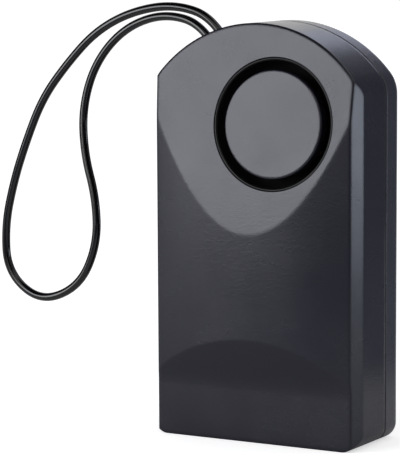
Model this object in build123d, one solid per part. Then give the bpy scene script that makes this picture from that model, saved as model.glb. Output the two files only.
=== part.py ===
from build123d import *
from math import sin, cos, tan, asin, atan2, sqrt, radians, degrees, pi
import os

# Door handle alarm: a pocket sized siren box that hangs from a door handle by
# a cord loop. It stands on its flat bottom with its face towards -Y.
# All sizes are in millimetres. The origin is the middle of the bottom.

# Case
wall = 2.0              # wall of both shells
top_room = 9.25         # from the siren cup up to the top of the dome
dome_swell = 7.25       # radius of the top beyond half the width
shoulder_r = 9.75       # rounding between the top and the sides
foot_r = 4.5            # rounding of the bottom corners
crown = 3.55            # how far the face bows out between the side facets
facet_in = 1.65         # width that each side facet takes from the face
facet_run = 4.85        # depth of each side facet
split_back = 10.65      # depth of the back shell
back_edge_r = 4.45      # rounding round the back
heel_r = 6.3            # rounding of the bottom edge of the back
brow_room = 12.3        # from the siren cup down to the lowest point of the leaning upper face
brow_lean = 6.2         # degrees that the upper face leans back
chin_drop = 30.1        # from there down to the top of the scooped lower face
chin_lean = 18.5        # degrees of the scoop
chin_step = 3.85        # depth of the flat lower face behind the bow
chin_r = 20.0           # radius where the scoop runs into the flat
groove_w = 0.6          # shadow groove between the shells
groove_deep = 0.5
lip_t = 0.9             # lip of the back shell inside the front shell
lip_h = 1.5
fit_gap = 0.1           # clearance of parts that slip together

# Siren
siren_x = 6.7           # the siren sits right of the middle
siren_gap = 2.0         # between the circuit board and the siren cup's flange
cup_r = 18.65           # outside of the glossy cup
cup_rim_r = 0.5         # rounding of the cup's rim into the groove
cup_t = 0.8
cup_deep = 9.0
cup_lip = 0.15          # cup rim below the face
flange_w = 1.2
flange_t = 1.0
collar_t = 1.2          # wall of the collar round the cup
cap_r = 15.25           # flush disc in the middle
cap_t = 1.6
cap_skirt = 2.4
cap_skirt_t = 1.1
cap_stem_r = 2.4
grille_deep = 7.0       # depth of the slotted floor under the disc
grille_t = 1.0
slot_in_r = 8.0         # inner radius of the sound slots
slot_out_r = 14.2
slot_count = 8
slot_share = 0.68       # share of the ring that the slots open
plate_in = 1.6          # sounder plate inside the cup's outside
seat_w = 2.2            # rim that the sounder plate rests on
plate_t = 0.4
ceramic_r = 12.0
ceramic_t = 0.4
holder_wall = 1.6
holder_deep = 3.5
holder_floor = 1.0

# Battery compartment, in the back shell
batt_w = 26.5           # nine volt block
batt_d = 17.5
batt_can = 46.4
batt_stud = 2.3         # height of the snap studs
batt_side = 3.75        # room at each side of the battery
bay_z = 5.5             # inside bottom of the compartment
snap_gap = 0.3          # between the battery and the snap connector
snap_t = 1.3            # connector above the studs
lead_room = 9.25        # room for the leads above the connector
bay_wall = 1.2
sill = 2.5              # edge that the door's hooks reach behind
batt_gap = 0.25
batt_lift = 0.8         # battery above the compartment's bottom
rib_t = 2.0             # side ribs that centre the battery
door_t = 1.8
door_gap = 0.25
hook_w = 2.4
hook_t = 1.3
hook_reach = 2.0
tongue_w = 11.0
tongue_l = 9.0
tongue_slit = 0.8
thumb_r = 7.0           # thumb recess above the door

# Circuit board
board_room = 9.55       # from the front of the case to the board
board_t = 1.6
board_gap = 0.75        # between the board and the battery compartment
board_side = 1.0        # between the board and the walls
board_low = 12.0
board_over = 3.0        # board above the top of the compartment
board_screw_in = 5.5    # screws from the board's edge
board_boss_r = 2.4
board_screw_r = 1.0
board_screw_l = 5.7
board_head_r = 1.9
board_head_t = 1.2

# Case screws
case_screw_in = 5.5     # from the side of the case
case_screw_low = 8.2
case_screw_up = 8.0     # upper ones above the compartment
case_screw_r = 1.3
case_screw_l = 15.0
case_head_r = 2.4
case_head_t = 1.8
case_head_sunk = 5.0
boss_r = 2.8
post_r = 4.0
screw_gap = 0.05

# Mode switch, three places, on the left side
switch_drop = 8.5       # below the top of the board
switch_l = 8.5
switch_h = 4.0
switch_w = 6.0
switch_skin = 0.4
switch_step = 2.0       # from one place to the next
knob_l = 3.0
knob_h = 2.0
knob_sunk = 0.2         # knob tip below the side
pocket_deep = 1.1       # finger recess round the controls

# Sensitivity wheel, on the left side
wheel_drop = 29.0       # below the top of the board
wheel_r = 6.8
wheel_gap = 0.5         # between the wheel and the battery compartment
wheel_t = 2.4
wheel_bore = 1.6
wheel_sunk = 0.2
wheel_notches = 30
pot_r = 4.5
pot_t = 1.6
pot_pin_r = 1.5
pot_cap_r = 2.3
run_gap = 0.2

# Parts on the board
tall_in = 5.9           # tall parts from the board's edge
coil_up = 25.0          # above the bottom of the board
coil_r = 4.0
coil_h = 9.0
coil_core_r = 2.4
can_drop = 20.5         # below the top of the board
can_r = 3.15
can_h = 11.0
drive_up = 17.0         # above the bottom of the board
chip_at = (3.0, 46.0)
chip_l = 9.4
chip_w = 6.4
chip_t = 3.2
resistor_x = -8.0
resistor_low = 36.0
resistor_pitch = 4.0
resistor_count = 4

# Cord loop and its outlet
cord_d = 2.5
cord_turn = 28.9        # degrees left of the top where the cord leaves
cord_half = 2.0         # half the distance between the two ends
cord_in = 4.3           # length of cord inside the case
cord_out = 5.1          # straight start of the cord outside
outlet_l = 9.0
outlet_w = 5.0
outlet_flange = 1.2
outlet_flange_t = 1.6
outlet_nub = 0.8        # height of the tapered sleeves outside
clamp_l = 9.0
clamp_w = 5.0
clamp_t = 3.6
lead_d = 1.3
fine_lead_d = 1.0

# The battery compartment, and the case round it
bay_w = batt_w + 2 * batt_side
bay_h = batt_lift + batt_can + snap_gap + batt_stud + snap_t + lead_room
bay_half = bay_w / 2
bay_top = bay_z + bay_h
half_w = bay_half + bay_wall + wheel_gap + 2 * wheel_r + wheel_sunk
body_w = 2 * half_w
body_d = board_room + board_t + board_gap + bay_wall + 2 * batt_gap + batt_d + door_t
board_high = bay_top + board_over
siren_z = board_high + siren_gap + flange_w + cup_r
body_h = siren_z + cup_r + top_room
dome_r = half_w + dome_swell
brow_z = siren_z - cup_r - brow_room
chin_z = brow_z - chin_drop

# Places that follow from the sizes above
front_y = -body_d / 2
back_y = body_d / 2
board_y = front_y + board_room
board_w = body_w - 2 * wall - 2 * board_side
board_screw_x = board_w / 2 - board_screw_in
board_screws_at = [
    (-board_screw_x, board_low + 10.0), (board_screw_x, board_low + 10.0),
    (board_screw_x, board_high - 7.0), (-board_screw_x, board_high - 17.5),
]
case_screw_x = half_w - case_screw_in
case_screw_high = bay_top + case_screw_up
switch_z = board_high - switch_drop
wheel_z = board_high - wheel_drop
coil_at = (board_w / 2 - tall_in, board_low + coil_up)
can_at = (board_w / 2 - tall_in, board_high - can_drop)
drive_at = (board_w / 2 - tall_in, board_low + drive_up)
split_y = back_y - split_back
cord_y = split_y - lip_h - fit_gap - outlet_w / 2
edge_y = front_y + crown
face_half = half_w - facet_in
bow_r = (face_half ** 2 + crown ** 2) / (2 * crown)
dome_z = body_h - dome_r
shoulder_x = half_w - shoulder_r
shoulder_z = dome_z + sqrt((dome_r - shoulder_r) ** 2 - shoulder_x ** 2)
shoulder_turn = degrees(atan2(shoulder_z - dome_z, shoulder_x))
siren_y = front_y + (siren_z - brow_z) * tan(radians(brow_lean))
plate_r = cup_r - plate_in
seat_in_r = plate_r - seat_w
collar_r = cup_r + fit_gap + collar_t
board_back = board_y + board_t
bay_front = back_y - door_t - batt_gap - batt_d - batt_gap
door_low = bay_z + sill
batt_low = bay_z + batt_lift
batt_high = batt_low + batt_can
batt_mid_y = bay_front + batt_gap + batt_d / 2
snap_low = batt_high + snap_gap
snap_high = snap_low + batt_stud + snap_t
switch_left = half_w - wall - 1.9
knob_out = half_w - knob_sunk
wheel_x = -(half_w - wheel_sunk - wheel_r)
wheel_y = board_back + pot_t + run_gap + wheel_t / 2
switch_y = board_back + switch_h / 2

siren_plane = Plane(
    origin=(siren_x, siren_y, siren_z), x_dir=(1, 0, 0),
    z_dir=(0, cos(radians(brow_lean)), -sin(radians(brow_lean))),
)
cord_nx = -sin(radians(cord_turn))
cord_nz = cos(radians(cord_turn))
cord_plane = Plane(
    origin=(dome_r * cord_nx, cord_y, dome_z + dome_r * cord_nz),
    x_dir=(cord_nz, 0, -cord_nx), z_dir=(cord_nx, 0, cord_nz),
)


def on_siren(part):
    """Put a part drawn round Z, depth upward, into the leaning upper face."""
    return siren_plane.location * part


def on_outlet(part):
    """Put a part drawn round Z, outward upward, on the dome at the cord outlet."""
    return cord_plane.location * part


def ring(r_out, r_in, low, high):
    """A plain ring or tube round Z from one height to another."""
    body = Pos(0, 0, low) * Cylinder(r_out, high - low, align=(Align.CENTER, Align.CENTER, Align.MIN))
    if r_in > 0:
        body -= Pos(0, 0, low - 1) * Cylinder(r_in, high - low + 2, align=(Align.CENTER, Align.CENTER, Align.MIN))
    return body


def peg_y(x, z, r, low, high):
    """A round peg along Y."""
    return Pos(x, (low + high) / 2, z) * Rot(90, 0, 0) * Cylinder(r, high - low)


def block(x0, x1, y0, y1, z0, z1):
    return Pos((x0 + x1) / 2, (y0 + y1) / 2, (z0 + z1) / 2) * Box(x1 - x0, y1 - y0, z1 - z0)


def outline(inset, y):
    """The upright outline of the case, drawn inset from its outside, at depth y."""
    hw = half_w - inset
    low = inset
    fr = foot_r - inset if foot_r - inset > 0.5 else 0.5
    sr = shoulder_r - inset
    dr = dome_r - inset
    edges = [
        Line((-hw + fr, low), (hw - fr, low)),
        CenterArc((hw - fr, low + fr), fr, 270, 90),
        Line((hw, low + fr), (hw, shoulder_z)),
        CenterArc((shoulder_x, shoulder_z), sr, 0, shoulder_turn),
        CenterArc((0, dome_z), dr, shoulder_turn, 180 - 2 * shoulder_turn),
        CenterArc((-shoulder_x, shoulder_z), sr, 180 - shoulder_turn, shoulder_turn),
        Line((-hw, shoulder_z), (-hw, low + fr)),
        CenterArc((-hw + fr, low + fr), fr, 180, 90),
    ]
    return Pos(0, y, 0) * (Plane.XZ * make_face(edges))


def front_form(inset, reach):
    """The outside of the front shell, moved inward by inset and open to reach."""
    form = extrude(outline(inset, reach), amount=reach - front_y - inset + 1)
    bow = Pos(0, front_y + bow_r, -20) * Cylinder(
        bow_r - inset, body_h + 60, align=(Align.CENTER, Align.CENTER, Align.MIN)
    )
    form = form & bow
    lean = degrees(atan2(facet_in, facet_run))
    for side in (1, -1):
        mid_x = half_w - facet_in / 2
        mid_y = edge_y + facet_run / 2
        cut = Pos(side * mid_x, mid_y, body_h / 2) * Rot(0, 0, -side * lean)
        form -= cut * Pos(side * (15 - inset), 0, 0) * Box(30, 60, body_h + 60)
    brow = Pos(0, front_y, brow_z) * Rot(-brow_lean, 0, 0)
    form -= brow * Pos(0, inset - 20, 0) * Box(body_w + 60, 40, 4 * body_h)
    return form - chin(inset)


def chin(inset):
    """What the scooped lower face takes away, moved inward by inset."""
    slope = tan(radians(chin_lean))
    flat_y = front_y + chin_step + inset
    over = inset / cos(radians(chin_lean))
    top_y = front_y - 20 * slope + over
    meet_z = chin_z - (flat_y - front_y - over) / slope
    profile = Polyline(
        (-60, chin_z + 20), (top_y, chin_z + 20), (flat_y, meet_z), (flat_y, -20), (-60, -20), close=True
    )
    face = make_face(Plane.YZ * profile)
    corner = face.vertices().sort_by_distance((0, flat_y, meet_z))[0]
    face = fillet(corner, chin_r + inset)
    return extrude(face, amount=body_w, both=True)


def front_housing():
    shell = front_form(0, split_y)
    hollow = front_form(wall, split_y + 1)
    bones = Part()
    for x, z in board_screws_at:
        bones += peg_y(x, z, board_boss_r, front_y, board_y)
    for x in (-case_screw_x, case_screw_x):
        for z in (case_screw_low, case_screw_high):
            bones += peg_y(x, z, boss_r, front_y, split_y - lip_h)
    bones += on_siren(ring(collar_r, 0, 0, cup_deep))
    post = Pos(0, 0, -cord_in - clamp_t / 2) * block(
        -clamp_l / 2 + 1.5, clamp_l / 2 - 1.5, front_y - cord_y, -clamp_w / 2, -clamp_t / 2, clamp_t / 2
    )
    bones += on_outlet(post)
    bones = bones & front_form(wall / 2, split_y + 1)
    body = (shell - hollow) + bones
    body -= on_siren(ring(cup_r + fit_gap, 0, -6, cup_deep + 30))
    for x, z in board_screws_at:
        body -= peg_y(x, z, board_screw_r + screw_gap, board_back - board_screw_l - 0.6, board_y + 1)
    for x in (-case_screw_x, case_screw_x):
        for z in (case_screw_low, case_screw_high):
            body -= peg_y(x, z, case_screw_r + screw_gap, case_tip() - 0.6, split_y + 1)
    rebate = extrude(outline(wall - lip_t - fit_gap, split_y + 1), amount=lip_h + fit_gap + 1)
    rebate -= extrude(outline(wall, split_y + 1), amount=lip_h + fit_gap + 1)
    body -= rebate
    hole = SlotOverall(outlet_l + 2 * screw_gap, outlet_w + 2 * screw_gap)
    body -= on_outlet(extrude(hole, amount=wall + 3, both=True))
    body -= switch_window()
    body -= wheel_window()
    body -= on_outlet(Pos(0, 0, -cord_in - clamp_t / 2) * Rot(90, 0, 0) * Cylinder(board_screw_r + screw_gap, 16))
    return body


def case_tip():
    """Depth of the tip of a case screw."""
    return back_y - case_head_sunk - case_screw_l


def switch_window():
    """Finger recess and slot for the mode switch."""
    travel = 2 * switch_step
    pocket = extrude(Plane.YZ * SlotOverall(travel + knob_l + 7, knob_h + 4, rotation=90), amount=pocket_deep + 1)
    slot = extrude(Plane.YZ * SlotOverall(travel + knob_l + 2.4, knob_h + 1, rotation=90), amount=wall + 2)
    place = Pos(-half_w, switch_y, switch_z)
    return place * (Pos(-1, 0, 0) * pocket + Pos(-1, 0, 0) * slot)


def wheel_window():
    """Finger recess and slot for the sensitivity wheel."""
    pocket = extrude(Plane.YZ * SlotOverall(2 * wheel_r + 1, wheel_t + 4, rotation=90), amount=pocket_deep + 1)
    slot = peg_y(wheel_x, wheel_z, wheel_r + 0.5, wheel_y - wheel_t / 2 - 0.5, wheel_y + wheel_t / 2 + 0.5)
    return Pos(-half_w - 1, wheel_y, wheel_z) * pocket + slot


def heel():
    """A bar as wide as the case, with the larger rounding along its lower back edge."""
    bar = block(-body_w, body_w, -body_d, back_y, 0, body_h + 10)
    edge = bar.edges().filter_by(Axis.X).sort_by_distance((0, back_y, 0))[0]
    return fillet(edge, heel_r)


def back_housing():
    depth = back_y - split_y
    form = Pos(0, depth, 0) * extrude(outline(0, split_y), amount=depth)
    back = form.faces().sort_by(Axis.Y)[-1]
    form = fillet(back.edges(), back_edge_r) & heel()
    hollow = Pos(0, depth - wall, 0) * extrude(outline(wall, split_y), amount=depth - wall + 1)
    form -= fillet(hollow.faces().sort_by(Axis.Y)[-1].edges(), back_edge_r - wall)
    step = extrude(outline(-1, split_y), amount=1) - extrude(outline(groove_deep, split_y), amount=1)
    form -= Pos(0, groove_w, 0) * step
    lip = extrude(outline(wall - lip_t, split_y + 1), amount=lip_h + 1)
    lip -= extrude(outline(wall, split_y + 2), amount=lip_h + 4)
    form += lip
    form += block(
        -bay_half - bay_wall, bay_half + bay_wall, bay_front - bay_wall, back_y - wall / 2,
        bay_z - bay_wall, bay_top + bay_wall,
    )
    form -= block(-bay_half, bay_half, bay_front, back_y - wall, bay_z, bay_top)
    form -= block(-bay_half, bay_half, bay_front, back_y + 1, door_low, bay_top)
    inner = batt_w / 2 + batt_gap
    for side in (-1, 1):
        for z in (bay_z + 0.28 * bay_h, bay_z + 0.62 * bay_h):
            low, high = sorted((side * inner, side * (bay_half + 0.5)))
            form += block(low, high, bay_front - 0.5, batt_mid_y, z, z + rib_t)
        low, high = sorted((side * (bay_half - 1.0), side * (bay_half + 0.5)))
        form += block(low, high, back_y - door_t - 2.4, back_y - door_t - 0.15, door_low + 8, bay_top - 12)
    form += block(-8, 8, bay_front, batt_mid_y, bay_z - 0.5, batt_low)
    post = Part()
    for x in (-case_screw_x, case_screw_x):
        for z in (case_screw_low, case_screw_high):
            post += peg_y(x, z, post_r, split_y - lip_h, back_y - wall / 2)
    inside = extrude(outline(wall - 0.05, back_y - wall / 2), amount=body_d)
    form += post & inside
    for x in (-case_screw_x, case_screw_x):
        for z in (case_screw_low, case_screw_high):
            form -= peg_y(x, z, case_head_r + 0.3, back_y - case_head_sunk, back_y + 1)
            form -= peg_y(x, z, case_screw_r + 0.2, split_y - lip_h - 1, back_y)
    form -= lead_slot()
    thumb = Pos(0, back_y + 5.4, bay_top + 1.0) * Sphere(thumb_r)
    form -= thumb & block(-20, 20, back_y - wall + 0.6, back_y + 10, bay_top - 1, bay_top + 20)
    return form


def lead_slot():
    """Slot in the compartment's front wall for the battery leads."""
    x = lead_x()
    return block(x - lead_d, x + lead_d, bay_front - bay_wall - 1, bay_front + 1, black_z() - 1.6, red_z() + 1.6)


def lead_x():
    return -(batt_w / 2 + batt_gap + 1.9)


def black_z():
    return snap_high + 3.0


def red_z():
    return black_z() + 3.2


def battery_door():
    """Lift-off door that tilts out on two hooks behind the sill."""
    half = bay_half - door_gap
    low = door_low + door_gap
    high = bay_top - door_gap
    door = block(-half, half, back_y - door_t, back_y, low, high)
    inner = back_y - wall - 0.2
    for side in (-1, 1):
        a, b = sorted((side * (half - 0.3), side * (half - 0.3 - hook_w)))
        hook = block(a, b, inner - hook_t, back_y - door_t, low, low + 1.8)
        hook += block(a, b, inner - hook_t, inner, low - door_gap - hook_reach, low + 1.8)
        swing = Pos(0, back_y, door_low) * Rot(0, 90, 0) * Cylinder(back_y - inner + hook_t, 4 * half)
        door += hook & swing
    slit_low = high - tongue_l
    for side in (-1, 1):
        x = side * (tongue_w + tongue_slit) / 2
        door -= block(x - tongue_slit / 2, x + tongue_slit / 2, back_y - door_t - 1, back_y + 1, slit_low, high + 1)
    nose = Polyline(
        (back_y - door_t, high), (back_y - door_t - 1.2, high), (back_y - door_t, high - 3.0), close=True
    )
    door += extrude(make_face(Plane.YZ * nose), amount=tongue_w / 2 - 1.5, both=True)
    for i in range(4):
        z = slit_low - 3.0 - 2.4 * i
        door -= Pos(0, back_y + 0.25, z) * Rot(0, 90, 0) * Cylinder(0.85, 16 - 2.5 * i)
    return door


def siren_cup():
    body = ring(cup_r, cup_r - cup_t, cup_lip, cup_deep + flange_t)
    rim = body.faces().sort_by(Axis.Z)[0].edges().sort_by(SortBy.RADIUS)[0]
    body = fillet(rim, cup_rim_r)
    body += ring(cup_r + flange_w, cup_r - cup_t, cup_deep, cup_deep + flange_t)
    body += ring(cup_r - cup_t / 2, 0, grille_deep, grille_deep + grille_t)
    body += ring(cup_r - cup_t / 2, seat_in_r, grille_deep, cup_deep + flange_t)
    body += ring(cap_stem_r + 1.8, 0, grille_deep - 2.0, grille_deep + grille_t)
    body -= ring(cap_stem_r + screw_gap, 0, grille_deep - 3, grille_deep + grille_t / 2)
    opening = 360 / slot_count * slot_share
    inner = CenterArc((0, 0), slot_in_r, -opening / 2, opening)
    outer = CenterArc((0, 0), slot_out_r, -opening / 2, opening)
    slot = make_face([inner, outer, Line(inner @ 0, outer @ 0), Line(inner @ 1, outer @ 1)])
    cut = Pos(0, 0, grille_deep - 1) * extrude(slot, amount=grille_t + 2)
    for i in range(slot_count):
        body -= Rot(0, 0, 360 / slot_count * i) * cut
    return on_siren(body)


def siren_cap():
    body = ring(cap_r, 0, 0, cap_t)
    body = fillet(body.faces().sort_by(Axis.Z)[0].edges(), 0.4)
    body += ring(cap_r - 0.25, cap_r - 0.25 - cap_skirt_t, cap_t / 2, cap_t + cap_skirt)
    body += ring(cap_stem_r, 0, cap_t / 2, grille_deep + grille_t / 2)
    for i in range(4):
        body += Rot(0, 0, 45 + 90 * i) * block(
            cap_stem_r / 2, cap_r - 0.8, -0.5, 0.5, cap_t / 2, cap_t + cap_skirt * 0.6
        )
    return on_siren(body)


def sounder_start():
    return cup_deep + flange_t


def sounder_plate():
    low = sounder_start()
    return on_siren(ring(plate_r, 0, low, low + plate_t))


def sounder_ceramic():
    low = sounder_start() + plate_t
    return on_siren(ring(ceramic_r, 0, low, low + ceramic_t))


def sounder_holder():
    low = sounder_start()
    inner = plate_r + fit_gap
    outer = inner + holder_wall
    body = ring(outer, inner, low, low + holder_deep)
    body += ring(outer, inner - 1.8, low + plate_t, low + holder_deep)
    body += ring(outer, 0, low + holder_deep - holder_floor, low + holder_deep)
    body = fillet(body.faces().sort_by(Axis.Z)[-1].edges(), 0.5)
    for x in siren_lead_x():
        body -= Pos(x - siren_x, siren_lead_drop(), low + holder_deep - holder_floor - 1) * Cylinder(
            fine_lead_d * 0.8, holder_floor + 4, align=(Align.CENTER, Align.CENTER, Align.MIN)
        )
    return on_siren(body)


def siren_lead_x():
    return (siren_x - 2.7, siren_x + 2.7)


def siren_lead_drop():
    """Distance of the lead holes below the middle of the sounder."""
    return 10.0


def circuit_board():
    board = block(-board_w / 2, board_w / 2, board_y, board_back, board_low, board_high)
    board = fillet(board.edges().filter_by(Axis.Y), 1.5)
    for x, z in board_screws_at:
        board -= peg_y(x, z, board_screw_r + 0.15, board_y - 1, board_back + 1)
    return board


def pan_screw(r, length, head_r, head_t):
    """A pan head screw with a cross slot, tip at Z zero and head on top."""
    tip = length - 2 * r if length > 4 * r else length / 2
    shank = Pos(0, 0, length - tip) * Cylinder(r, tip, align=(Align.CENTER, Align.CENTER, Align.MIN))
    point = Cone(0.35 * r, r, length - tip, align=(Align.CENTER, Align.CENTER, Align.MIN))
    head = Pos(0, 0, length) * Cylinder(head_r, head_t, align=(Align.CENTER, Align.CENTER, Align.MIN))
    head = chamfer(head.faces().sort_by(Axis.Z)[-1].edges(), 0.35 * head_t)
    screw = shank + point + head
    for turn in (0, 90):
        screw -= Pos(0, 0, length + head_t) * Rot(0, 0, turn) * Box(head_r * 1.15, head_r * 0.3, head_t)
    return screw


def board_screws():
    screw = pan_screw(board_screw_r, board_screw_l, board_head_r, board_head_t)
    return [Pos(x, board_back - board_screw_l, z) * Rot(-90, 0, 0) * screw for x, z in board_screws_at]


def case_screws():
    screw = pan_screw(case_screw_r, case_screw_l, case_head_r, case_head_t)
    places = [(x, z) for x in (-case_screw_x, case_screw_x) for z in (case_screw_low, case_screw_high)]
    return [Pos(x, case_tip(), z) * Rot(-90, 0, 0) * screw for x, z in places]


def battery():
    can = block(
        -batt_w / 2, batt_w / 2, batt_mid_y - batt_d / 2, batt_mid_y + batt_d / 2, batt_low, batt_high
    )
    can = fillet(can.edges().filter_by(Axis.Z), 2.0)
    rim = [e for e in can.edges() if e.center().Z > batt_high - 0.01 or e.center().Z < batt_low + 0.01]
    return chamfer(rim, 0.4)


def stud_x():
    return 6.35


def battery_studs():
    """The round stud and the six-sided stud of a nine volt block."""
    male = Pos(-stud_x(), batt_mid_y, batt_high) * ring(2.85, 0, 0, batt_stud)
    female = Pos(stud_x(), batt_mid_y, batt_high) * extrude(RegularPolygon(4.4, 6), amount=batt_stud)
    female -= Pos(stud_x(), batt_mid_y, batt_high) * ring(2.9, 0, 0.6, batt_stud + 1)
    return [male, female]


def battery_snap():
    """Snap connector that presses onto both studs."""
    half = batt_w / 2 - 0.4
    snap = block(-half, half, batt_mid_y - 7.0, batt_mid_y + 7.0, snap_low, snap_high)
    snap = fillet(snap.edges().filter_by(Axis.Z), 3.0)
    snap = fillet(snap.faces().sort_by(Axis.Z)[-1].edges(), 0.8)
    snap -= Pos(-stud_x(), batt_mid_y, 0) * ring(2.95, 0, snap_low - 1, batt_high + batt_stud + 0.1)
    snap -= Pos(stud_x(), batt_mid_y, 0) * ring(4.5, 0, snap_low - 1, batt_high + batt_stud + 0.1)
    return snap


def wire(points, bend, d):
    """A round wire through the points with one bend radius."""
    path = FilletPolyline(*points, radius=bend)
    profile = Plane(origin=path @ 0, z_dir=path % 0) * Circle(d / 2)
    return sweep(profile, path=path)


def battery_lead(y, z):
    start = -(batt_w / 2 - 0.4)
    mid = (snap_low + snap_high) / 2
    return wire([(start, y, mid), (lead_x(), y, mid), (lead_x(), y, z), (lead_x(), board_back, z)], 1.5, lead_d)


def red_lead():
    return battery_lead(batt_mid_y + 2.2, red_z())


def black_lead():
    return battery_lead(batt_mid_y - 2.2, black_z())


def siren_leads():
    """Two leads from the sounder down to the board."""
    start = siren_plane.location * Location((0, siren_lead_drop(), sounder_start() + plate_t + ceramic_t))
    y0 = start.position.Y
    z0 = start.position.Z
    out_y = y0 + holder_deep + 2.0
    low = board_high - 0.8
    return [
        wire([(x, y0, z0), (x, out_y, z0), (x, out_y, low), (x, board_back, low)], 1.4, fine_lead_d * 0.8)
        for x in siren_lead_x()
    ]


def mode_switch():
    """Metal case of the slide switch, open towards the side."""
    x0 = -switch_left
    x1 = x0 + switch_w
    y1 = board_back + switch_h
    z0 = switch_z - switch_l / 2
    z1 = switch_z + switch_l / 2
    case = block(x0, x1, board_back, y1, z0, z1)
    case = fillet(case.edges().filter_by(Axis.X), 0.4)
    s = switch_skin
    case -= block(x0 + s, x1 - 1.0, board_back + s, y1 - s, z0 + s, z1 - s)
    slot = switch_step * 2 + knob_l + 0.3
    case -= block(x0 - 1, x0 + 1, switch_y - knob_h / 2 - 0.15, switch_y + knob_h / 2 + 0.15,
                  switch_z - slot / 2, switch_z + slot / 2)
    return case


def mode_knob():
    """Knob in its lowest place, with a foot inside the switch case."""
    z = switch_z - switch_step
    x0 = -switch_left
    s = switch_skin
    knob = block(-knob_out, x0 + s + 1.0, switch_y - knob_h / 2, switch_y + knob_h / 2, z - knob_l / 2, z + knob_l / 2)
    knob += block(x0 + s + 0.1, x0 + s + 2.2, switch_y - switch_h / 2 + s + 0.1, switch_y + switch_h / 2 - s - 0.1,
                  z - knob_l / 2, z + knob_l / 2)
    for i in (-1, 0, 1):
        knob -= Pos(-knob_out - 0.1, switch_y, z + 0.9 * i) * Rot(90, 0, 0) * Cylinder(0.3, knob_h + 2)
    return knob


def sensitivity_pot():
    """Round variable resistor with the pin that carries the wheel."""
    base = peg_y(wheel_x, wheel_z, pot_r, board_back, board_back + pot_t)
    top = board_back + pot_t + 2 * run_gap + wheel_t
    base += peg_y(wheel_x, wheel_z, pot_pin_r, board_back, top + 0.5)
    base += peg_y(wheel_x, wheel_z, pot_cap_r, top, top + 0.6)
    return base


def sensitivity_wheel():
    """Thumb wheel with a notched rim and a flat pointer mark."""
    y0 = wheel_y - wheel_t / 2
    y1 = wheel_y + wheel_t / 2
    wheel = Cylinder(wheel_r, wheel_t)
    wheel = chamfer(wheel.edges(), 0.3)
    notch = Pos(wheel_r + 0.12, 0, 0) * Cylinder(0.42, wheel_t + 1)
    for i in range(wheel_notches):
        wheel -= Rot(0, 0, 360 / wheel_notches * i) * notch
    wheel -= Cylinder(wheel_bore, wheel_t + 1)
    return Pos(wheel_x, (y0 + y1) / 2, wheel_z) * Rot(90, 0, 0) * wheel


def boost_coil():
    """Drum coil that steps the siren voltage up."""
    x, z = coil_at
    y0 = board_back
    coil = peg_y(x, z, coil_r, y0, y0 + 1.2) + peg_y(x, z, coil_r, y0 + coil_h - 1.2, y0 + coil_h)
    return coil + peg_y(x, z, coil_core_r, y0, y0 + coil_h)


def coil_winding():
    x, z = coil_at
    body = peg_y(x, z, coil_r - 0.5, board_back + 1.2, board_back + coil_h - 1.2)
    return body - peg_y(x, z, coil_core_r, board_back, board_back + coil_h)


def storage_capacitor():
    """Upright electrolytic can with a rolled edge."""
    x, z = can_at
    can = Cylinder(can_r, can_h, align=(Align.CENTER, Align.CENTER, Align.MIN))
    can = fillet(can.faces().sort_by(Axis.Z)[-1].edges(), 0.6)
    can -= Pos(0, 0, 1.6) * Torus(can_r + 0.25, 0.5)
    return Pos(x, board_back, z) * Rot(-90, 0, 0) * can


def driver_transistor():
    """Half-round transistor lying against the board."""
    x, z = drive_at
    round_part = Pos(0, 0, 0) * Cylinder(2.3, 4.8) - Pos(0, -2.3 - 1.2, 0) * Box(6, 2 * 1.15 + 0.1, 6)
    return Pos(x, board_back + 2.3, z) * round_part


def control_chip():
    """Eight pin chip with its legs on the front of the board."""
    x, z = chip_at
    top = board_y - chip_t
    body = block(x - chip_l / 2, x + chip_l / 2, top, board_y - 0.5, z - chip_w / 2, z + chip_w / 2)
    body = chamfer(body.faces().sort_by(Axis.Y)[0].edges(), 0.3)
    body -= peg_y(x - chip_l / 2, z, 0.7, top - 1, top + 0.4)
    for i in range(4):
        leg = x + (i - 1.5) * 2.54
        for side in (-1, 1):
            a, b = sorted((z + side * (chip_w / 2 - 0.4), z + side * (chip_w / 2 + 0.6)))
            body += block(leg - 0.6, leg + 0.6, board_y - 1.9, board_y - 1.5, a, b)
            c, d = sorted((z + side * (chip_w / 2 + 0.3), z + side * (chip_w / 2 + 0.6)))
            body += block(leg - 0.25, leg + 0.25, board_y - 1.9, board_y, c, d)
    return body


def resistors():
    """Axial resistors lying in a row on the front of the board."""
    parts = []
    for i in range(resistor_count):
        z = resistor_low + resistor_pitch * i
        y = board_y - 1.2
        body = Pos(resistor_x, y, z) * Rot(0, 90, 0) * Cylinder(1.15, 6.3)
        body = fillet(body.edges(), 0.45)
        legs = wire(
            [(resistor_x - 5, board_y, z), (resistor_x - 5, y, z), (resistor_x + 5, y, z), (resistor_x + 5, board_y, z)],
            0.5, 0.6,
        )
        parts.append(body + legs)
    return parts


def cord_outlet():
    """Rubber outlet in the dome with two tapered sleeves."""
    low = -wall - 0.5 - outlet_flange_t
    body = Pos(0, 0, low + 1) * extrude(SlotOverall(outlet_l, outlet_w), amount=-low - 1 + 0.3)
    body += Pos(0, 0, low) * extrude(
        SlotOverall(outlet_l + 2 * outlet_flange, outlet_w + 2 * outlet_flange), amount=outlet_flange_t
    )
    for side in (-1, 1):
        body += Pos(side * cord_half, 0, 0) * Cone(
            cord_half - 0.1, cord_d / 2 + 0.45, outlet_nub, align=(Align.CENTER, Align.CENTER, Align.MIN)
        )
    for side in (-1, 1):
        body -= Pos(side * cord_half, 0, 0) * Cylinder(cord_d / 2, 30)
    return on_outlet(body)


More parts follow.
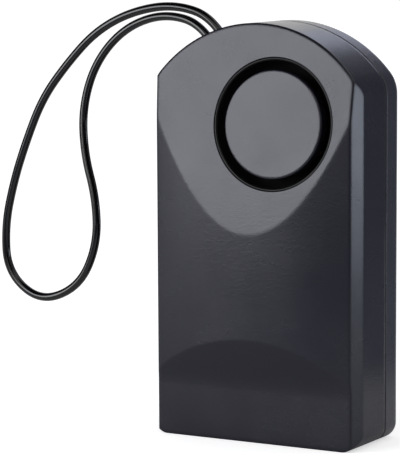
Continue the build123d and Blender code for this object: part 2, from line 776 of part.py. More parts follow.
def cord_clamp():
    """Brass clamp block that the two cord ends are crimped to."""
    body = Pos(0, 0, -cord_in - clamp_t / 2) * Box(clamp_l, clamp_w, clamp_t)
    body = chamfer(body.edges().filter_by(Axis.Z), 0.5)
    body -= Pos(0, 0, -cord_in - clamp_t / 2) * Rot(90, 0, 0) * Cylinder(board_screw_r + 0.1, 20)
    return on_outlet(body)


def clamp_screw():
    screw = pan_screw(board_screw_r, clamp_w + 5.0, board_head_r - 0.2, board_head_t)
    turn = Rot(-90, 0, 0)
    place = Pos(0, clamp_w / 2 - clamp_w - 5.0, -cord_in - clamp_t / 2)
    return on_outlet(place * turn * screw)


def cord_lead():
    """Lead from the cord clamp down to the board."""
    low = cord_in + clamp_t
    top = cord_plane.location * Location((-clamp_l / 2 + 1.2, 0, -low))
    x0, y0, z0 = top.position.X, top.position.Y, top.position.Z
    drop_x = -(case_screw_x - boss_r - 6.5)
    end = board_high - 1.2
    return wire(
        [(x0, y0, z0), (x0 - 2.5 * cord_nx, y0, z0 - 2.5 * cord_nz), (drop_x, y0, z0 - 9.0),
         (drop_x, y0, end), (drop_x, board_back, end)],
        1.3, fine_lead_d,
    )


def cord_points():
    """Route of the loop: out of the dome, over to the left, down and back up."""
    out = cord_plane.location
    start = cord_plane.origin
    first = (out * Location((cord_half, 0, -cord_in))).position
    second = (out * Location((cord_half, 0, cord_out))).position
    last_but_one = (out * Location((-cord_half, 0, cord_out))).position
    last = (out * Location((-cord_half, 0, -cord_in))).position
    # Measured from the middle of the outlet
    middle = [
        (-13.6, -1.0, 9.2), (-28.1, -1.3, 7.4), (-40.6, -1.3, 1.2), (-50.9, -1.2, -8.2), (-60.5, -1.1, -18.7),
        (-66.2, -1.0, -31.9), (-71.3, -0.9, -44.3), (-74.7, -0.6, -58.1), (-73.7, -0.3, -72.5), (-61.9, 0.0, -81.3),
        (-48.0, 0.4, -75.7), (-41.4, 0.7, -62.6), (-41.5, 1.0, -48.7), (-45.9, 1.1, -35.3), (-46.0, 1.3, -21.5),
        (-40.9, 1.3, -8.0), (-30.9, 1.3, 2.4), (-17.2, 1.1, 7.1),
    ]
    route = [(start.X + x, start.Y + y, start.Z + z) for x, y, z in middle]
    ends = [(p.X, p.Y, p.Z) for p in (first, second, last_but_one, last)]
    return ends[:2] + route + ends[2:]


def cord_radii(points):
    """One bend radius for each corner of the route."""
    radii = []
    for a, b, c in zip(points, points[1:], points[2:]):
        u = Vector(*b) - Vector(*a)
        v = Vector(*c) - Vector(*b)
        turn = u.get_angle(v)
        short = u.length if u.length < v.length else v.length
        radii.append(0.45 * short / tan(radians(turn) / 2))
    return radii


def cord_loop():
    points = cord_points()
    radii = cord_radii(points)
    path = FilletPolyline(*points, radius=radii)
    profile = Plane(origin=path @ 0, z_dir=path % 0) * Circle(cord_d / 2)
    cord = sweep(profile, path=path)
    print("route", [tuple(round(v, 3) for v in p) for p in points])
    print("radii", [round(r, 1) for r in radii])
    print("cord length", round(path.length, 2), "tightest bend", round(min(radii), 2))
    print("cord volume", round(cord.volume, 2), "section times length", round(pi * cord_d ** 2 / 4 * path.length, 2))
    return cord


def main():
    os.makedirs("parts", exist_ok=True)
    nodes = {
        "front_housing": front_housing(),
        "back_housing": back_housing(),
        "battery_door": battery_door(),
        "siren_cup": siren_cup(),
        "siren_cap": siren_cap(),
        "sounder_plate": sounder_plate(),
        "sounder_ceramic": sounder_ceramic(),
        "sounder_holder": sounder_holder(),
        "circuit_board": circuit_board(),
        "control_chip": control_chip(),
        "resistors": Compound(children=resistors()),
        "boost_coil": boost_coil(),
        "coil_winding": coil_winding(),
        "storage_capacitor": storage_capacitor(),
        "driver_transistor": driver_transistor(),
        "mode_switch": mode_switch(),
        "mode_knob": mode_knob(),
        "sensitivity_pot": sensitivity_pot(),
        "sensitivity_wheel": sensitivity_wheel(),
        "battery": battery(),
        "battery_studs": Compound(children=battery_studs()),
        "battery_snap": battery_snap(),
        "red_lead": red_lead(),
        "black_lead": black_lead(),
        "siren_leads": Compound(children=siren_leads()),
        "cord_lead": cord_lead(),
        "cord_loop": cord_loop(),
        "cord_outlet": cord_outlet(),
        "cord_clamp": cord_clamp(),
        "clamp_screw": clamp_screw(),
        "board_screws": Compound(children=board_screws()),
        "case_screws": Compound(children=case_screws()),
    }
    for name, part in nodes.items():
        export_step(part, "parts/" + name + ".step")


main()
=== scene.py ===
from math import cos, radians, sin

import bmesh
import bpy
from mathutils import Matrix, Vector


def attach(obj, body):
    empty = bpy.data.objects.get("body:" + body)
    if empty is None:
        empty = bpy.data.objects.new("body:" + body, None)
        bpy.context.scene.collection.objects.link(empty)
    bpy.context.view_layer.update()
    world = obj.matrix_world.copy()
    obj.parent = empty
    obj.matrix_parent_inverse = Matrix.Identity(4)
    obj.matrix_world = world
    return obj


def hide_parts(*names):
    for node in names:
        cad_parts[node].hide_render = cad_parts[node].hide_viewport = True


bl_info = {
    "name": "Door handle alarm",
    "version": (1, 0, 0),
    "blender": (4, 5, 0),
    "location": "3D View > Sidebar > Door alarm",
    "description": "Dresses a door handle alarm: shells, siren, controls, battery and cord loop",
    "category": "Object",
}

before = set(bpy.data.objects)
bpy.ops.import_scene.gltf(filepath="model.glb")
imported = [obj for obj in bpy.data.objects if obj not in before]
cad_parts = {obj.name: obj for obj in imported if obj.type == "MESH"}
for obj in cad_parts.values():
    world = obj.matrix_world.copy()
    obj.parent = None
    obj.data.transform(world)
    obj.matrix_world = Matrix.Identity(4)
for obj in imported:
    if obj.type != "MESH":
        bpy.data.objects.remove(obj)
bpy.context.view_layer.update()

# Where the leaning upper face carries the siren
SIREN_AT = Vector((0.0067, -0.01309, 0.0907))
SIREN_LEAN = radians(6.2)
SIREN_INWARD = Vector((0, cos(SIREN_LEAN), -sin(SIREN_LEAN)))

# The opening round the siren, whose edge stays crisp: its reach and its edge radius
OPENING_REACH = 0.0200
OPENING_EDGE = 0.0002
CRISP_FADE = 0.001

# The cup's rim: its outside radius, its place below the face, and how far it rolls over
CUP_RADIUS = 0.01865
CUP_LIP = 0.00015
CUP_ROLL = 0.00025
CUP_ROLL_STEPS = 4
RIM_DEPTH_SLACK = 0.00002
RIM_RADIUS_SLACK = 0.00003
MERGE_DISTANCE = 0.000001
SHARP_ANGLE = radians(35)

# The groove turns from polished to dull between these depths
GROOVE_POLISHED_TO = 0.0026
GROOVE_DULL_FROM = 0.0040
GROOVE_DULLNESS = 0.6

# The loop's route: out of the dome, over to the left, down and back up, in metres
CORD_ROUTE = [
    (-0.01538, 0.0017, 0.11085), (-0.01992, 0.0017, 0.11908), (-0.03238, 0.0007, 0.12307),
    (-0.04685, 0.0004, 0.12087), (-0.05945, 0.0004, 0.11483), (-0.06951, 0.0005, 0.10530),
    (-0.07867, 0.0006, 0.09445), (-0.08482, 0.0007, 0.08137), (-0.08957, 0.0008, 0.06899),
    (-0.09322, 0.0011, 0.05527), (-0.09275, 0.0014, 0.04099), (-0.08121, 0.0017, 0.03256),
    (-0.06739, 0.0021, 0.03805), (-0.06107, 0.0024, 0.05105), (-0.06151, 0.0027, 0.06486),
    (-0.06559, 0.0028, 0.07840), (-0.06606, 0.0030, 0.09239), (-0.06118, 0.0030, 0.10578),
    (-0.05101, 0.0030, 0.11598), (-0.03731, 0.0028, 0.12036), (-0.02343, 0.0017, 0.11715),
    (-0.01888, 0.0017, 0.10892),
]
CORD_STEPS = 16
CORD_ROUNDNESS = 8

# The camera, worked out from the photograph, with its lens and sensor in millimetres
CAMERA_AT = Vector((0.34508, -0.63771, 0.14913))
CAMERA_YAW = radians(30.078)
CAMERA_PITCH = radians(6.986)
CAMERA_ROLL = radians(-0.294)
CAMERA_LENS = 203.30
CAMERA_SENSOR = 36.0

# Patterns in the plastic, in grains per metre
COARSE_SPARK = 1300.0
FINE_SPARK = 2600.0
FLECKS = 900.0
HANDLING_MARKS = 60.0
POLISH_WAVES = 300.0
POLISH_MARKS = 120.0
POLISH_DEPTH = 0.000004
ROLLING_LINES = 900.0
TRACES = 160.0
BEVEL_SAMPLES = 8

# How much lighter the back shell's plastic is, and a satin fleck than the plastic round it
BACK_LIGHTER = 1.4
FLECK_LIGHTER = 1.25

# Plain colours
SOFT_BLACK = (0.012, 0.012, 0.013)
WHITE = (1, 1, 1, 1)
# The cards' black and their pale blue glow show only in reflections: painted dark and painted
# light reflections on the object
REFLECTION_CARD_BLACK = (0.004, 0.004, 0.004)
CARD_GLOW = (0.78, 0.82, 1, 1)

# The stage: what the lights and cards face, and the floor
AIM = (0, 0, 0.06)
FACE_AIM = (0, 0, 0.09)
FLOOR_SIZE = 12.0
FLOOR_GLOW = 0.55
CARD_HEIGHT = 0.001

# Cards on the floor, seen only in reflections, that paint dark and light reflections on the
# object:
# middle, size, rise per metre towards the back, glow. Their outer ends sink into the floor, so
# the long ones stop short of their full length.
FLOOR_CARDS = (
    ("near_card", (0.207301, -0.176659), (0.62, 0.08), 0.0090992, 0.75),
    ("front_card", (0.051329, -0.567137), (0.62, 0.76), 0.0090992, 0.2),
    ("far_floor_card", (0.201340, 0.316769), (0.30, 0.48), -0.0086598, 0.25),
)

# Cards that stand round the object and face it, seen only in reflections: painted dark
# reflections where they are black, painted light reflections where they glow. Place, size, glow
STANDING_CARDS = (
    ("right_card", (0.42, -0.52, 0.20), (0.62, 0.62), 0.0),
    ("far_card", (0.17, 0.37, 0.15), (0.42, 0.42), 0.17),
    ("left_card", (-0.75, 0.05, 0.20), (0.80, 0.70), 0.0),
    ("top_card", (-0.3, -0.2, 1.1), (1.8, 1.8), 0.0),
    ("sky_card", (-0.081, 0.924, 0.475), (0.50, 0.65), 1.25),
)


class CaseFinish(bpy.types.PropertyGroup):
    """Finish of the moulded shells."""

    colour: bpy.props.FloatVectorProperty(
        name="Colour", description="Colour of the satin plastic",
        default=(0.0066, 0.0068, 0.0118), subtype="COLOR", min=0, max=1)
    roughness: bpy.props.FloatProperty(
        name="Roughness", description="How dull the satin surface is", default=0.25, min=0, max=1,
        subtype="FACTOR")
    grain: bpy.props.FloatProperty(
        name="Grain depth", description="Depth of the spark grain in the mould", default=0.000025,
        unit="LENGTH", min=0, precision=6)
    edge: bpy.props.FloatProperty(
        name="Edge radius", description="Softness of the moulded edges", default=0.0015,
        unit="LENGTH", min=0, precision=5)


class SirenFinish(bpy.types.PropertyGroup):
    """Finish of the polished siren cup."""

    colour: bpy.props.FloatVectorProperty(
        name="Colour", description="Colour of the polished plastic",
        default=(0.005, 0.005, 0.0055), subtype="COLOR", min=0, max=1)
    roughness: bpy.props.FloatProperty(
        name="Roughness", description="Polish of the groove", default=0.12, min=0, max=1,
        subtype="FACTOR")


class CordFinish(bpy.types.PropertyGroup):
    """Size and finish of the cord loop."""

    diameter: bpy.props.FloatProperty(
        name="Diameter", description="Thickness of the cord", default=0.0025, unit="LENGTH",
        min=0.0005, precision=4)
    colour: bpy.props.FloatVectorProperty(
        name="Colour", description="Colour of the jacket", default=(0.002, 0.002, 0.0025),
        subtype="COLOR", min=0, max=1)
    roughness: bpy.props.FloatProperty(
        name="Roughness", description="Gloss of the jacket", default=0.10, min=0, max=1,
        subtype="FACTOR")


class StudioLight(bpy.types.PropertyGroup):
    """The plain floor and its soft light."""

    front: bpy.props.FloatProperty(
        name="Front panel", description="Power of the large panel in front on the left",
        default=5.2, unit="POWER", min=0)
    side: bpy.props.FloatProperty(
        name="Side panel", description="Power of the panel on the right", default=0.52,
        unit="POWER", min=0)
    ambient: bpy.props.FloatProperty(
        name="Ambient", description="Strength of the even light all round", default=0.6, min=0)
    floor: bpy.props.FloatVectorProperty(
        name="Floor", description="Colour of the floor", default=(0.86, 0.86, 0.87),
        subtype="COLOR", min=0, max=1)


class DoorAlarm(bpy.types.PropertyGroup):
    """Everything that a user would change."""

    case: bpy.props.PointerProperty(type=CaseFinish, name="Case")
    siren: bpy.props.PointerProperty(type=SirenFinish, name="Siren")
    cord: bpy.props.PointerProperty(type=CordFinish, name="Cord")
    light: bpy.props.PointerProperty(type=StudioLight, name="Light")


class Finish:
    """A material under construction: its shader and the nodes that feed it."""

    def __init__(self, name, colour, roughness, metallic=0.0, specular=0.5):
        self.material = bpy.data.materials.new(name)
        self.material.use_nodes = True
        self.tree = self.material.node_tree
        self.shader = self.tree.nodes["Principled BSDF"]
        self.shader.inputs["Base Color"].default_value = (*colour, 1)
        self.shader.inputs["Roughness"].default_value = roughness
        self.shader.inputs["Metallic"].default_value = metallic
        self.shader.inputs["Specular IOR Level"].default_value = specular
        self.place = self.node("ShaderNodeTexCoord").outputs["Object"]
        self.surface = None

    def node(self, kind, **values):
        made = self.tree.nodes.new(kind)
        for key, value in values.items():
            setattr(made, key, value)
        return made

    def link(self, source, target):
        self.tree.links.new(source, target)

    def noise(self, scale, detail=3.0, stretch=None):
        """A noise over the object, its grain 1 / scale metres across."""
        made = self.node("ShaderNodeTexNoise")
        made.inputs["Scale"].default_value = scale
        made.inputs["Detail"].default_value = detail
        source = self.place
        if stretch:
            mapping = self.node("ShaderNodeMapping")
            mapping.inputs["Scale"].default_value = stretch
            self.link(self.place, mapping.inputs["Vector"])
            source = mapping.outputs["Vector"]
        self.link(source, made.inputs["Vector"])
        return made.outputs["Fac"]

    def spread(self, source, low, high, start=0.3, end=0.7):
        """Turn the part of a pattern between start and end into a range."""
        made = self.node("ShaderNodeMapRange")
        made.inputs["From Min"].default_value = start
        made.inputs["From Max"].default_value = end
        made.inputs["To Min"].default_value = low
        made.inputs["To Max"].default_value = high
        self.link(source, made.inputs["Value"])
        return made.outputs["Result"]

    def vary_roughness(self, source, low, high):
        self.link(self.spread(source, low, high), self.shader.inputs["Roughness"])

    def vary_colour(self, source, dark, light, start=0.3, end=0.7):
        ramp = self.node("ShaderNodeValToRGB")
        ends = ramp.color_ramp.elements
        for stop, position, colour in ((ends[0], start, dark), (ends[1], end, light)):
            stop.position = position
            stop.color = (*colour, 1)
        self.link(source, ramp.inputs["Fac"])
        self.link(ramp.outputs["Color"], self.shader.inputs["Base Color"])

    def away_from(self, point):
        """Distance from a point."""
        made = self.node("ShaderNodeVectorMath", operation="DISTANCE")
        self.link(self.place, made.inputs[0])
        made.inputs[1].default_value = point
        return made.outputs["Value"]

    def depth_along(self, point, axis):
        """Distance behind a point, measured along an axis."""
        offset = self.node("ShaderNodeVectorMath", operation="SUBTRACT")
        self.link(self.place, offset.inputs[0])
        offset.inputs[1].default_value = point
        made = self.node("ShaderNodeVectorMath", operation="DOT_PRODUCT")
        self.link(offset.outputs["Vector"], made.inputs[0])
        made.inputs[1].default_value = axis
        return made.outputs["Value"]

    def soften(self, radius, crisp=None):
        """Round every edge in the shading, less inside a crisp ball (middle, reach, radius)."""
        made = self.node("ShaderNodeBevel", samples=BEVEL_SAMPLES)
        made.inputs["Radius"].default_value = radius
        if crisp:
            middle, reach, inside = crisp
            fade = self.spread(self.away_from(middle), inside, radius, reach, reach + CRISP_FADE)
            self.link(fade, made.inputs["Radius"])
        self.surface = made.outputs["Normal"]
        self.link(self.surface, self.shader.inputs["Normal"])

    def bump(self, source, depth):
        made = self.node("ShaderNodeBump")
        made.inputs["Strength"].default_value = 1.0
        made.inputs["Distance"].default_value = depth
        self.link(source, made.inputs["Height"])
        if self.surface is not None:
            self.link(self.surface, made.inputs["Normal"])
        self.surface = made.outputs["Normal"]
        self.link(self.surface, self.shader.inputs["Normal"])


def settings():
    return bpy.context.scene.door_alarm


def paint(finish, *nodes):
    """Give nodes of the frame their finish."""
    for node in nodes:
        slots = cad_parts[node].data.materials
        slots.clear()
        slots.append(finish.material)


def satin_plastic(name, colour, roughness, grain, edge, specular=0.4, crisp=None):
    """Moulded satin plastic with spark grain and softened edges."""
    finish = Finish(name, colour, roughness, specular=specular)
    # The reflections are tinted blue: a painted tint that stands in for the bluish light
    finish.shader.inputs["Specular Tint"].default_value = (0.945, 0.945, 1.0, 1)
    finish.soften(edge, crisp)
    finish.bump(finish.noise(COARSE_SPARK, detail=2.0), grain)
    finish.bump(finish.noise(FINE_SPARK, detail=4.0), grain)
    marks = finish.noise(HANDLING_MARKS, detail=5.0)
    finish.vary_roughness(marks, roughness - 0.03, roughness + 0.04)
    lighter = tuple(min(1.0, FLECK_LIGHTER * value) for value in colour)
    finish.vary_colour(finish.noise(FLECKS), colour, lighter)
    return finish


def polished_plastic(name, colour, roughness, edge=0.0002, specular=0.5):
    """Glossy plastic with the slight waves of moulding."""
    finish = Finish(name, colour, roughness, specular=specular)
    finish.soften(edge)
    finish.bump(finish.noise(POLISH_WAVES, detail=2.0), POLISH_DEPTH)
    marks = finish.noise(POLISH_MARKS, detail=4.0)
    finish.vary_roughness(marks, roughness - 0.03, roughness + 0.05)
    return finish


def plated_metal(name, colour, roughness, edge=0.0001):
    """Plated metal with fine rolling lines."""
    finish = Finish(name, colour, roughness, metallic=1.0)
    finish.soften(edge)
    finish.bump(finish.noise(ROLLING_LINES, stretch=(1, 12, 1)), 0.000006)
    finish.vary_roughness(finish.noise(700.0, detail=4.0), roughness - 0.06, roughness + 0.1)
    return finish


class DOORALARM_OT_case(bpy.types.Operator):
    """Finish the two moulded shells and the battery door."""

    bl_idname = "door_alarm.case"
    bl_label = "Case"

    def execute(self, context):
        case = settings().case
        front = satin_plastic(
            "satin_black", case.colour, case.roughness, case.grain, case.edge,
            crisp=(SIREN_AT, OPENING_REACH, OPENING_EDGE))
        paint(front, "front_housing")
        lighter = tuple(BACK_LIGHTER * value for value in case.colour)
        back = satin_plastic(
            "dull_black", lighter, case.roughness + 0.02, 2 * case.grain, case.edge / 2,
            specular=0.7)
        paint(back, "back_housing", "battery_door")
        return {"FINISHED"}


class DOORALARM_OT_siren(bpy.types.Operator):
    """Finish the polished cup, the flush disc and the sounder."""

    bl_idname = "door_alarm.siren"
    bl_label = "Siren"

    def execute(self, context):
        case, siren = settings().case, settings().siren
        polish = Finish("polished_black", siren.colour, siren.roughness, specular=0.14)
        polish.soften(OPENING_EDGE)
        polish.bump(polish.noise(POLISH_WAVES, detail=2.0), POLISH_DEPTH)
        depth = polish.depth_along(SIREN_AT, SIREN_INWARD)
        dulling = polish.spread(
            depth, siren.roughness, GROOVE_DULLNESS, GROOVE_POLISHED_TO, GROOVE_DULL_FROM)
        polish.link(dulling, polish.shader.inputs["Roughness"])
        self.roll_cup(polish)
        disc = satin_plastic(
            "satin_disc", case.colour, case.roughness - 0.02, case.grain, edge=0.0009)
        paint(disc, "siren_cap")
        paint(polished_plastic("holder_black", (0.012, 0.012, 0.014), 0.35), "sounder_holder")
        paint(plated_metal("rolled_brass", (0.72, 0.52, 0.22), 0.28), "sounder_plate")
        ceramic = Finish("silvered_ceramic", (0.74, 0.72, 0.67), 0.38)
        ceramic.vary_colour(
            ceramic.noise(500.0, detail=4.0), (0.66, 0.64, 0.6), (0.78, 0.77, 0.74))
        ceramic.bump(ceramic.noise(1800.0), 0.00001)
        paint(ceramic, "sounder_ceramic")
        return {"FINISHED"}

    def roll_cup(self, polish):
        """Copy the cup and roll the outside of its rim over."""
        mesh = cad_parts["siren_cup"].data.copy()
        work = bmesh.new()
        work.from_mesh(mesh)
        bmesh.ops.remove_doubles(work, verts=work.verts, dist=MERGE_DISTANCE)

        def on_rim(vertex):
            offset = vertex.co - SIREN_AT
            depth = offset.dot(SIREN_INWARD)
            radius = (offset - depth * SIREN_INWARD).length
            at_lip = abs(depth - CUP_LIP) < RIM_DEPTH_SLACK
            return at_lip and abs(radius - CUP_RADIUS) < RIM_RADIUS_SLACK

        rim = [edge for edge in work.edges if all(on_rim(vertex) for vertex in edge.verts)]
        bmesh.ops.bevel(
            work, geom=rim, offset=CUP_ROLL, offset_type="OFFSET", segments=CUP_ROLL_STEPS,
            affect="EDGES", profile=0.5, material=-1)
        work.to_mesh(mesh)
        work.free()
        mesh.shade_smooth()
        mesh.set_sharp_from_angle(angle=SHARP_ANGLE)
        piece = bpy.data.objects.new("cup", mesh)
        bpy.context.scene.collection.objects.link(piece)
        mesh.materials.clear()
        mesh.materials.append(polish.material)
        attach(piece, "case")
        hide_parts("siren_cup")


class DOORALARM_OT_cord(bpy.types.Operator):
    """Lay the glossy cord loop along its route."""

    bl_idname = "door_alarm.cord"
    bl_label = "Cord loop"

    def execute(self, context):
        cord = settings().cord
        curve = bpy.data.curves.new("cord_loop_line", "CURVE")
        curve.dimensions = "3D"
        line = curve.splines.new("NURBS")
        line.points.add(len(CORD_ROUTE) - 1)
        for point, place in zip(line.points, CORD_ROUTE):
            point.co = (*place, 1)
        line.order_u = 3
        line.use_endpoint_u = True
        line.resolution_u = CORD_STEPS
        curve.bevel_depth = cord.diameter / 2
        curve.bevel_resolution = CORD_ROUNDNESS
        curve.use_fill_caps = True
        piece = bpy.data.objects.new("cord", curve)
        context.scene.collection.objects.link(piece)
        jacket = polished_plastic(
            "cord_jacket", cord.colour, cord.roughness, edge=0.0001, specular=0.45)
        curve.materials.append(jacket.material)
        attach(piece, "case")
        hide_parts("cord_loop")
        return {"FINISHED"}


class DOORALARM_OT_outlet(bpy.types.Operator):
    """Finish the rubber outlet, the clamp with its screw, and the lead."""

    bl_idname = "door_alarm.outlet"
    bl_label = "Cord outlet"

    def execute(self, context):
        rubber = Finish("outlet_rubber", SOFT_BLACK, 0.62, specular=0.3)
        rubber.soften(0.0003)
        rubber.bump(rubber.noise(1500.0, detail=4.0), 0.00002)
        paint(rubber, "cord_outlet")
        paint(plated_metal("clamp_brass", (0.7, 0.5, 0.24), 0.34), "cord_clamp")
        paint(plated_metal("clamp_steel", (0.6, 0.6, 0.62), 0.3), "clamp_screw")
        paint(polished_plastic("cord_lead_jacket", SOFT_BLACK, 0.4), "cord_lead")
        return {"FINISHED"}


class DOORALARM_OT_controls(bpy.types.Operator):
    """Finish the mode switch and the sensitivity wheel."""

    bl_idname = "door_alarm.controls"
    bl_label = "Controls"

    def execute(self, context):
        knob = satin_plastic(
            "knob_plastic", (0.014, 0.014, 0.015), roughness=0.4, grain=0.00001, edge=0.0002)
        paint(knob, "mode_knob", "sensitivity_wheel")
        steel = plated_metal("stamped_steel", (0.6, 0.6, 0.6), 0.32)
        paint(steel, "mode_switch", "sensitivity_pot")
        return {"FINISHED"}


class DOORALARM_OT_board(bpy.types.Operator):
    """Finish the circuit board, the parts on it and the screws."""

    bl_idname = "door_alarm.board"
    bl_label = "Circuit board"

    def execute(self, context):
        mask = Finish("solder_mask", (0.02, 0.12, 0.05), 0.3)
        mask.vary_colour(
            mask.noise(TRACES, detail=2.0), (0.012, 0.09, 0.04), (0.03, 0.17, 0.08), 0.46, 0.54)
        mask.bump(mask.noise(TRACES, detail=2.0), 0.00002)
        paint(mask, "circuit_board")
        epoxy = satin_plastic(
            "moulded_epoxy", (0.02, 0.02, 0.021), roughness=0.5, grain=0.00002, edge=0.0001)
        paint(epoxy, "control_chip", "driver_transistor")
        lacquer = polished_plastic("resistor_lacquer", (0.5, 0.36, 0.2), 0.35, edge=0.0001)
        paint(lacquer, "resistors")
        ferrite = Finish("pressed_ferrite", (0.05, 0.05, 0.052), 0.6)
        ferrite.bump(ferrite.noise(1200.0, detail=5.0), 0.00003)
        paint(ferrite, "boost_coil")
        copper = Finish("wound_copper", (0.6, 0.22, 0.08), 0.3, metallic=1.0)
        turns = copper.node("ShaderNodeTexWave", bands_direction="Y")
        turns.inputs["Scale"].default_value = 800.0
        turns.inputs["Distortion"].default_value = 0.4
        copper.link(copper.place, turns.inputs["Vector"])
        copper.bump(turns.outputs["Fac"], 0.0001)
        paint(copper, "coil_winding")
        sleeve = polished_plastic("capacitor_sleeve", (0.015, 0.025, 0.1), 0.3, edge=0.0001)
        paint(sleeve, "storage_capacitor")
        for node in ("board_screws", "case_screws"):
            paint(plated_metal(node + "_zinc", (0.58, 0.58, 0.6), 0.34), node)
        return {"FINISHED"}


class DOORALARM_OT_battery(bpy.types.Operator):
    """Finish the battery, its snap connector and the leads."""

    bl_idname = "door_alarm.battery"
    bl_label = "Battery"

    def execute(self, context):
        jacket = Finish("battery_jacket", (0.06, 0.06, 0.065), 0.3, metallic=0.6)
        jacket.soften(0.0003)
        jacket.bump(jacket.noise(200.0, detail=2.0), 0.00001)
        jacket.vary_roughness(jacket.noise(80.0, detail=4.0), 0.26, 0.36)
        paint(jacket, "battery")
        paint(plated_metal("stud_nickel", (0.74, 0.73, 0.7), 0.2), "battery_studs")
        snap = polished_plastic("snap_black", (0.015, 0.015, 0.016), 0.45, edge=0.0003)
        paint(snap, "battery_snap")
        red = polished_plastic("red_jacket", (0.4, 0.012, 0.01), 0.36)
        paint(red, "red_lead", "siren_leads")
        paint(polished_plastic("black_jacket", SOFT_BLACK, 0.38), "black_lead")
        return {"FINISHED"}


def panel_light(name, place, aim, size, power, colour):
    """A soft rectangular panel of light that faces a point."""
    data = bpy.data.lights.new(name, "AREA")
    data.color = colour
    data.shape = "RECTANGLE"
    data.size, data.size_y = size
    data.energy = power
    lamp = bpy.data.objects.new(name, data)
    bpy.context.scene.collection.objects.link(lamp)
    back = (Vector(place) - Vector(aim)).normalized()
    right = Vector((0, 0, 1)).cross(back).normalized()
    up = back.cross(right)
    turn = Matrix((right, up, back)).transposed().to_4x4()
    lamp.matrix_world = Matrix.Translation(place) @ turn
    lamp.visible_camera = False


def add_camera(scene):
    """The camera that was worked out from the photograph."""
    level = cos(CAMERA_PITCH)
    back = Vector((sin(CAMERA_YAW) * level, -cos(CAMERA_YAW) * level, sin(CAMERA_PITCH)))
    right = Vector((cos(CAMERA_YAW), sin(CAMERA_YAW), 0))
    up = back.cross(right)
    turned_right = cos(CAMERA_ROLL) * right + sin(CAMERA_ROLL) * up
    turned_up = -sin(CAMERA_ROLL) * right + cos(CAMERA_ROLL) * up
    data = bpy.data.cameras.new("camera")
    data.sensor_fit = "VERTICAL"
    data.sensor_height = CAMERA_SENSOR
    data.lens = CAMERA_LENS
    data.clip_start = 0.01
    data.clip_end = 100.0
    camera = bpy.data.objects.new("camera", data)
    scene.collection.objects.link(camera)
    turn = Matrix((turned_right, turned_up, back)).transposed().to_4x4()
    camera.matrix_world = Matrix.Translation(CAMERA_AT) @ turn
    scene.camera = camera


def add_world(scene, ambient):
    """Even light, with a white background where the camera and reflections look."""
    world = bpy.data.worlds.new("studio")
    world.use_nodes = True
    tree = world.node_tree
    even = tree.nodes["Background"]
    even.inputs["Color"].default_value = WHITE
    even.inputs["Strength"].default_value = ambient
    white = tree.nodes.new("ShaderNodeBackground")
    white.inputs["Color"].default_value = WHITE
    rays = tree.nodes.new("ShaderNodeLightPath")
    seen = rays.outputs["Is Camera Ray"]
    for kind in ("Is Glossy Ray", "Is Transmission Ray"):
        either = tree.nodes.new("ShaderNodeMath")
        either.operation = "MAXIMUM"
        tree.links.new(seen, either.inputs[0])
        tree.links.new(rays.outputs[kind], either.inputs[1])
        seen = either.outputs[0]
    mix = tree.nodes.new("ShaderNodeMixShader")
    tree.links.new(seen, mix.inputs["Fac"])
    tree.links.new(even.outputs["Background"], mix.inputs[1])
    tree.links.new(white.outputs["Background"], mix.inputs[2])
    tree.links.new(mix.outputs["Shader"], tree.nodes["World Output"].inputs["Surface"])
    scene.world = world


def floor_finish(colour):
    """Pale floor that looks white to the camera and keeps the shadow."""
    finish = Finish("pale_floor", colour, 0.9, specular=0.0)
    rays = finish.node("ShaderNodeLightPath")
    glow = finish.node("ShaderNodeMath", operation="MULTIPLY")
    glow.inputs[1].default_value = FLOOR_GLOW
    finish.link(rays.outputs["Is Camera Ray"], glow.inputs[0])
    finish.shader.inputs["Emission Color"].default_value = WHITE
    finish.link(glow.outputs[0], finish.shader.inputs["Emission Strength"])
    return finish


def reflection_card(name, place, side, up, reflection_glow):
    """A card with two given edges that only reflections see: a painted reflection, black at glow
    0, glowing pale blue at 1.
    """
    bpy.ops.mesh.primitive_plane_add(size=1.0, location=(0, 0, 0))
    card = bpy.context.object
    card.name = name
    turn = Matrix((side, up, side.cross(up).normalized())).transposed().to_4x4()
    card.data.transform(Matrix.Translation(place) @ turn)
    finish = Finish(name + "_painted_reflection", REFLECTION_CARD_BLACK, 0.9, specular=0.0)
    finish.shader.inputs["Emission Color"].default_value = CARD_GLOW
    finish.shader.inputs["Emission Strength"].default_value = reflection_glow
    card.data.materials.append(finish.material)
    # Only glossy rays see the card, so it paints its reflection on the object and lights nothing
    card.visible_camera = False
    card.visible_diffuse = False
    card.visible_shadow = False
    card.visible_transmission = False


def floor_card(name, middle, size, rise, reflection_glow):
    """A card that lies nearly flat on the floor."""
    side = Vector((1, 0, 0)) * size[0]
    up = Vector((0, 1, rise)) * size[1]
    reflection_card(name, (*middle, CARD_HEIGHT), side, up, reflection_glow)


def standing_card(name, place, size, reflection_glow):
    """A card that faces the object."""
    back = (Vector(AIM) - Vector(place)).normalized()
    side = Vector((0, 0, 1)).cross(back).normalized()
    reflection_card(name, place, side * size[0], back.cross(side) * size[1], reflection_glow)


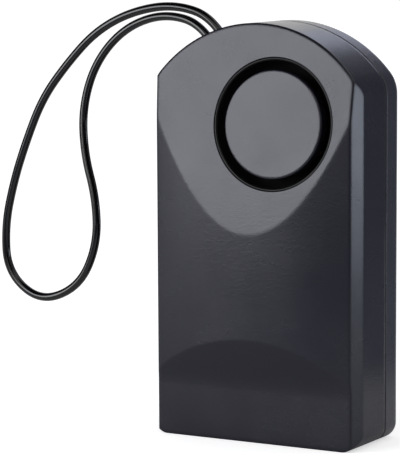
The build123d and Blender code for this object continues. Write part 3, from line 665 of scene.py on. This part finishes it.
class DOORALARM_OT_stage(bpy.types.Operator):
    """Set up the floor, the light and the camera."""

    bl_idname = "door_alarm.stage"
    bl_label = "Stage"

    def execute(self, context):
        scene = context.scene
        light = settings().light
        bpy.ops.mesh.primitive_plane_add(size=FLOOR_SIZE, location=(0, 0, 0))
        floor = context.object
        floor.name = "floor"
        floor.data.materials.append(floor_finish(light.floor).material)
        panel_light(
            "front_panel", place=(-0.54, -0.78, 0.25), aim=FACE_AIM, size=(0.62, 0.45),
            power=light.front, colour=(0.96, 0.98, 1.0))
        panel_light(
            "side_panel", place=(0.50, 0.20, 0.062), aim=AIM, size=(0.26, 0.12),
            power=light.side, colour=(0.78, 0.88, 1.0))
        for card in FLOOR_CARDS:
            floor_card(*card)
        for card in STANDING_CARDS:
            standing_card(*card)
        add_world(scene, light.ambient)
        add_camera(scene)
        scene.view_settings.view_transform = "Standard"
        return {"FINISHED"}


class DOORALARM_PT_sidebar(bpy.types.Panel):
    """The alarm's pieces and settings."""

    bl_idname = "DOORALARM_PT_sidebar"
    bl_label = "Door handle alarm"
    bl_space_type = "VIEW_3D"
    bl_region_type = "UI"
    bl_category = "Door alarm"

    def draw(self, context):
        alarm = context.scene.door_alarm
        for group in (alarm.case, alarm.siren, alarm.cord, alarm.light):
            box = self.layout.box()
            for key in group.__annotations__:
                box.prop(group, key)
        for operator in OPERATORS:
            self.layout.operator(operator.bl_idname)


OPERATORS = (
    DOORALARM_OT_stage, DOORALARM_OT_cord, DOORALARM_OT_case, DOORALARM_OT_siren,
    DOORALARM_OT_outlet, DOORALARM_OT_controls, DOORALARM_OT_board, DOORALARM_OT_battery,
)
GROUPS = (CaseFinish, SirenFinish, CordFinish, StudioLight, DoorAlarm)


def register():
    for kind in GROUPS + OPERATORS + (DOORALARM_PT_sidebar,):
        bpy.utils.register_class(kind)
    bpy.types.Scene.door_alarm = bpy.props.PointerProperty(type=DoorAlarm)


def unregister():
    del bpy.types.Scene.door_alarm
    for kind in reversed(GROUPS + OPERATORS + (DOORALARM_PT_sidebar,)):
        bpy.utils.unregister_class(kind)


def main():
    register()
    bpy.ops.door_alarm.stage()
    bpy.ops.door_alarm.cord()
    bpy.ops.door_alarm.case()
    bpy.ops.door_alarm.siren()
    bpy.ops.door_alarm.outlet()
    bpy.ops.door_alarm.controls()
    bpy.ops.door_alarm.board()
    bpy.ops.door_alarm.battery()


if __name__ == "__main__":
    main()
